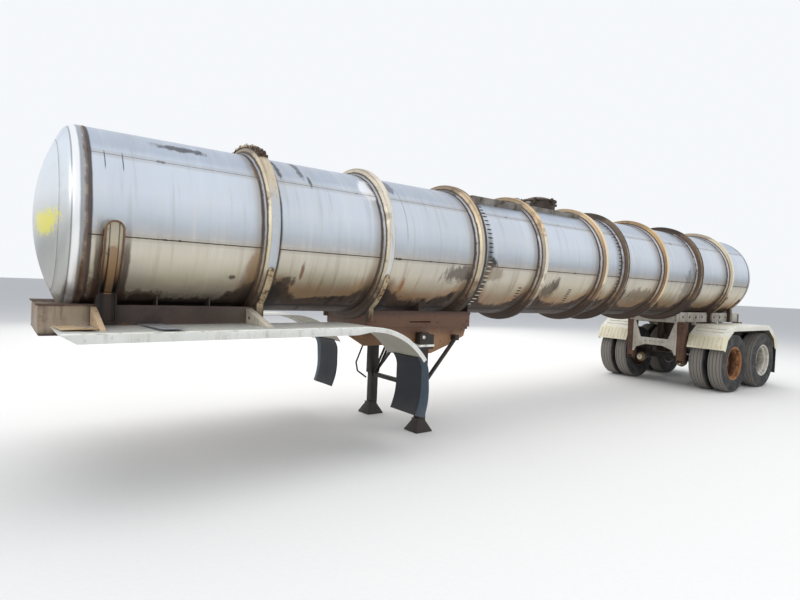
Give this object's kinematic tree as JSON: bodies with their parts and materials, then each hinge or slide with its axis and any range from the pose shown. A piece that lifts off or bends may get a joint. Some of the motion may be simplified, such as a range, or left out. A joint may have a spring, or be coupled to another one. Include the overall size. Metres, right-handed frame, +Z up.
{
  "type": "tank semi-trailer",
  "caption": "Parked stainless tank semi-trailer: long barrel with ring stiffeners, kingpin frame with fenders, landing legs, tandem of twin wheels that roll, and a hinged manway lid.",
  "frame": {"origin": "centre of the footprint of the whole trailer, on the ground", "axes": "+X forward along the trailer towards the kingpin end, +Y to its left, +Z up"},
  "size_m": [12.5643, 2.49, 3.1366],
  "materials": {
    "tank_skin": "mill-finish stainless, stained low down",
    "ring_steel": "stainless sheet, dull",
    "saddle_steel": "stainless plate, dull and stained",
    "frame_paint": "worn dark brown paint with rust",
    "bolster_paint": "flaking tan-brown paint",
    "pale_paint": "pale grey paint, dusty",
    "landing_paint": "dark brown paint, rusty",
    "suspension_steel": "rusty, greasy",
    "axle_steel": "dark, dusty",
    "kingpin_steel": "greased forged steel",
    "fender_aluminium": "pale sheet, dusty",
    "flap_rubber": "matt black sheet",
    "tyre_rubber": "worn, dusty grey tread",
    "wheel_brown": "rusty brown paint",
    "wheel_white": "white paint, worn",
    "hub_iron": "rusty cast iron",
    "fitting_steel": "stainless fittings",
    "light_bar_paint": "pale paint with red and amber lenses"
  },
  "bodies": {
    "chassis": {"axles": "axle_steel", "brake_chambers": "pale_paint", "coupler_plate": "frame_paint", "front_bolster": "bolster_paint", "front_fender_brackets": "pale_paint", "front_fender_left": "fender_aluminium", "front_fender_right": "fender_aluminium", "front_frame": "frame_paint", "front_head": "tank_skin", "front_mud_flaps": "flap_rubber", "front_saddles": "saddle_steel", "kingpin": "kingpin_steel", "landing_crank": "landing_paint", "landing_cross_shaft": "landing_paint", "landing_feet": "landing_paint", "landing_legs": "landing_paint", "landing_subframe": "landing_paint", "leaf_springs": "suspension_steel", "leg_cross_braces": "landing_paint", "leg_stays": "landing_paint", "manway_collar": "fitting_steel", "middle_crossmember": "frame_paint", "radius_rods": "suspension_steel", "rear_bumper": "frame_paint", "rear_crossmember": "pale_paint", "rear_fender_arms": "pale_paint", "rear_fender_left": "fender_aluminium", "rear_fender_right": "fender_aluminium", "rear_frame": "pale_paint", "rear_head": "tank_skin", "rear_mud_flaps": "flap_rubber", "rear_outlet": "fitting_steel", "ring_stiffeners": "ring_steel", "saddle_straps": "saddle_steel", "side_ladder": "fender_aluminium", "spring_equalizers": "suspension_steel", "spring_hangers": "suspension_steel", "tail_light_bar": "light_bar_paint", "tank_barrel": "tank_skin", "top_kerbs": "pale_paint", "top_vents": "fitting_steel"},
    "front_left_wheel_set": {"front_left_tyres": "tyre_rubber", "front_left_wheels": "wheel_brown", "front_left_hub": "hub_iron"},
    "front_right_wheel_set": {"front_right_tyres": "tyre_rubber", "front_right_wheels": "wheel_brown", "front_right_hub": "hub_iron"},
    "rear_left_wheel_set": {"rear_left_tyres": "tyre_rubber", "rear_left_wheels": "wheel_white", "rear_left_hub": "hub_iron"},
    "rear_right_wheel_set": {"rear_right_tyres": "tyre_rubber", "rear_right_wheels": "wheel_white", "rear_right_hub": "hub_iron"},
    "manway_cover": {"manway_lid": "fitting_steel"}
  },
  "joints": [
    {"name": "front_left_wheel_spin", "type": "hinge", "parent": "chassis", "child": "front_left_wheel_set", "pos_m": [-4.31203, 0, 0.525], "axis": [0, 1, 0], "continuous": true},
    {"name": "front_right_wheel_spin", "type": "hinge", "parent": "chassis", "child": "front_right_wheel_set", "pos_m": [-4.31203, 0, 0.525], "axis": [0, 1, 0], "continuous": true},
    {"name": "rear_left_wheel_spin", "type": "hinge", "parent": "chassis", "child": "rear_left_wheel_set", "pos_m": [-5.55703, 0, 0.525], "axis": [0, 1, 0], "continuous": true},
    {"name": "rear_right_wheel_spin", "type": "hinge", "parent": "chassis", "child": "rear_right_wheel_set", "pos_m": [-5.55703, 0, 0.525], "axis": [0, 1, 0], "continuous": true},
    {"name": "manway_hinge", "type": "hinge", "parent": "chassis", "child": "manway_cover", "pos_m": [-0.43382, 0, 3.07439], "axis": [0, -1, 0], "range_deg": [0, 105]}
  ]
}
